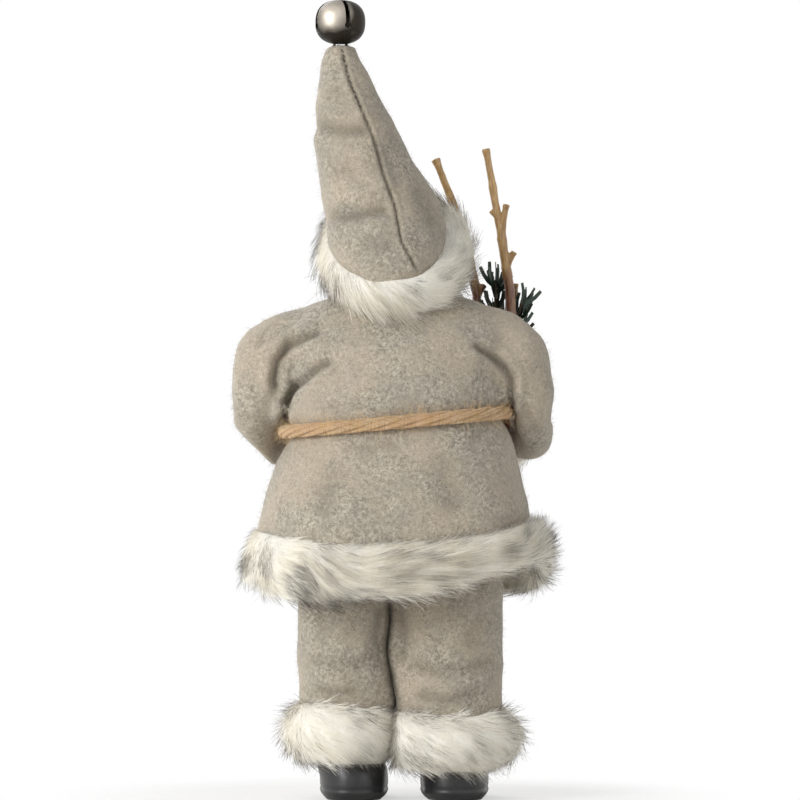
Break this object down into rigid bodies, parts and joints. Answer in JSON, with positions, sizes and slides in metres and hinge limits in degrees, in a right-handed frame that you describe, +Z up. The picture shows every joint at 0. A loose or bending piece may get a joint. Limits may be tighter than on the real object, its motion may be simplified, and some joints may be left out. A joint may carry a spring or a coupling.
{
  "type": "standing felt winter figurine",
  "caption": "Free-standing stuffed felt figurine with faux-fur trim, rope belt, tall pointed hat with a jingle bell, black boots and a bundle of twigs in one arm.",
  "frame": {"origin": "centre of the bounding box in plan, at the level of the boot soles", "axes": "+Z up, the face looks along -Y, the figure's left is +X"},
  "size_m": [0.134, 0.1158, 0.3181],
  "materials": {
    "felt": "heathered wool felt, matt and slightly hairy",
    "fur": "long-pile faux fur, ivory with grey-brown tips",
    "foam": "rigid foam core",
    "stuffing": "polyester fibre fill",
    "jute": "laid jute cord",
    "bark": "smooth dry bark",
    "pine": "cut film needles",
    "black_plastic": "moulded, satin",
    "plaster": "cast, rough",
    "skin": "moulded and painted, satin",
    "eye_black": "polished",
    "wood": "turned dowel",
    "steel": "drawn wire and rod",
    "gunmetal": "pressed steel, dark nickel plating",
    "thread": "waxed sewing thread"
  },
  "bodies": {
    "torso": {"body_core": "foam", "coat_body": "felt", "coat_hem_fur": "fur", "coat_front_fur_upper": "fur", "coat_front_fur_lower": "fur", "rope_belt": "jute", "belt_knot": "jute", "belt_tail_left": "jute", "belt_tail_right": "jute", "neck_post": "wood", "trouser_leg_left": "felt", "trouser_leg_right": "felt", "leg_filling_left": "stuffing", "leg_filling_right": "stuffing", "leg_rod_left": "steel", "leg_rod_right": "steel", "trouser_cuff_left": "fur", "trouser_cuff_right": "fur", "boot_left": "black_plastic", "boot_right": "black_plastic", "boot_weight_left": "plaster", "boot_weight_right": "plaster", "arm_pin_left": "wood", "arm_pin_right": "wood"},
    "head": {"head": "skin", "eye_left": "eye_black", "eye_right": "eye_black", "beard": "fur", "moustache": "fur", "hat": "felt", "hat_filling": "stuffing", "hat_brim_fur": "fur", "bell_thread": "thread"},
    "bell": {"bell_loop": "gunmetal", "bell_base": "gunmetal", "bell_crown": "gunmetal"},
    "clapper": {"bell_pellet": "steel"},
    "arm_left": {"sleeve_left": "felt", "arm_filling_left": "stuffing", "arm_wire_left": "steel", "sleeve_cuff_left": "fur", "mitten_left": "felt"},
    "arm_right": {"sleeve_right": "felt", "arm_filling_right": "stuffing", "arm_wire_right": "steel", "sleeve_cuff_right": "fur", "mitten_right": "felt", "twig_tall": "bark", "twig_inner": "bark", "twig_short": "bark", "pine_sprig": "pine", "bundle_tie": "jute"}
  },
  "joints": [
    {"name": "head_turn", "type": "hinge", "parent": "torso", "child": "head", "pos_m": [-0.0018, 0.0057, 0.2], "axis": [0, 0, 1], "range_deg": [-8, 8]},
    {"name": "arm_left_swing", "type": "hinge", "parent": "torso", "child": "arm_left", "pos_m": [0.0454, 0.0057, 0.1736], "axis": [1, 0, 0], "range_deg": [-10, 8]},
    {"name": "arm_right_swing", "type": "hinge", "parent": "torso", "child": "arm_right", "pos_m": [-0.0482, 0.0057, 0.1746], "axis": [1, 0, 0], "range_deg": [-10, 2]},
    {"name": "bell_tilt", "type": "hinge", "parent": "head", "child": "bell", "pos_m": [0.0192, 0.0097, 0.3002], "axis": [0, 1, 0], "range_deg": [-15, 15]},
    {"name": "pellet_rattle", "type": "slide", "parent": "bell", "child": "clapper", "axis": [0, 0, 1], "range_m": [0, 0.007]}
  ]
}
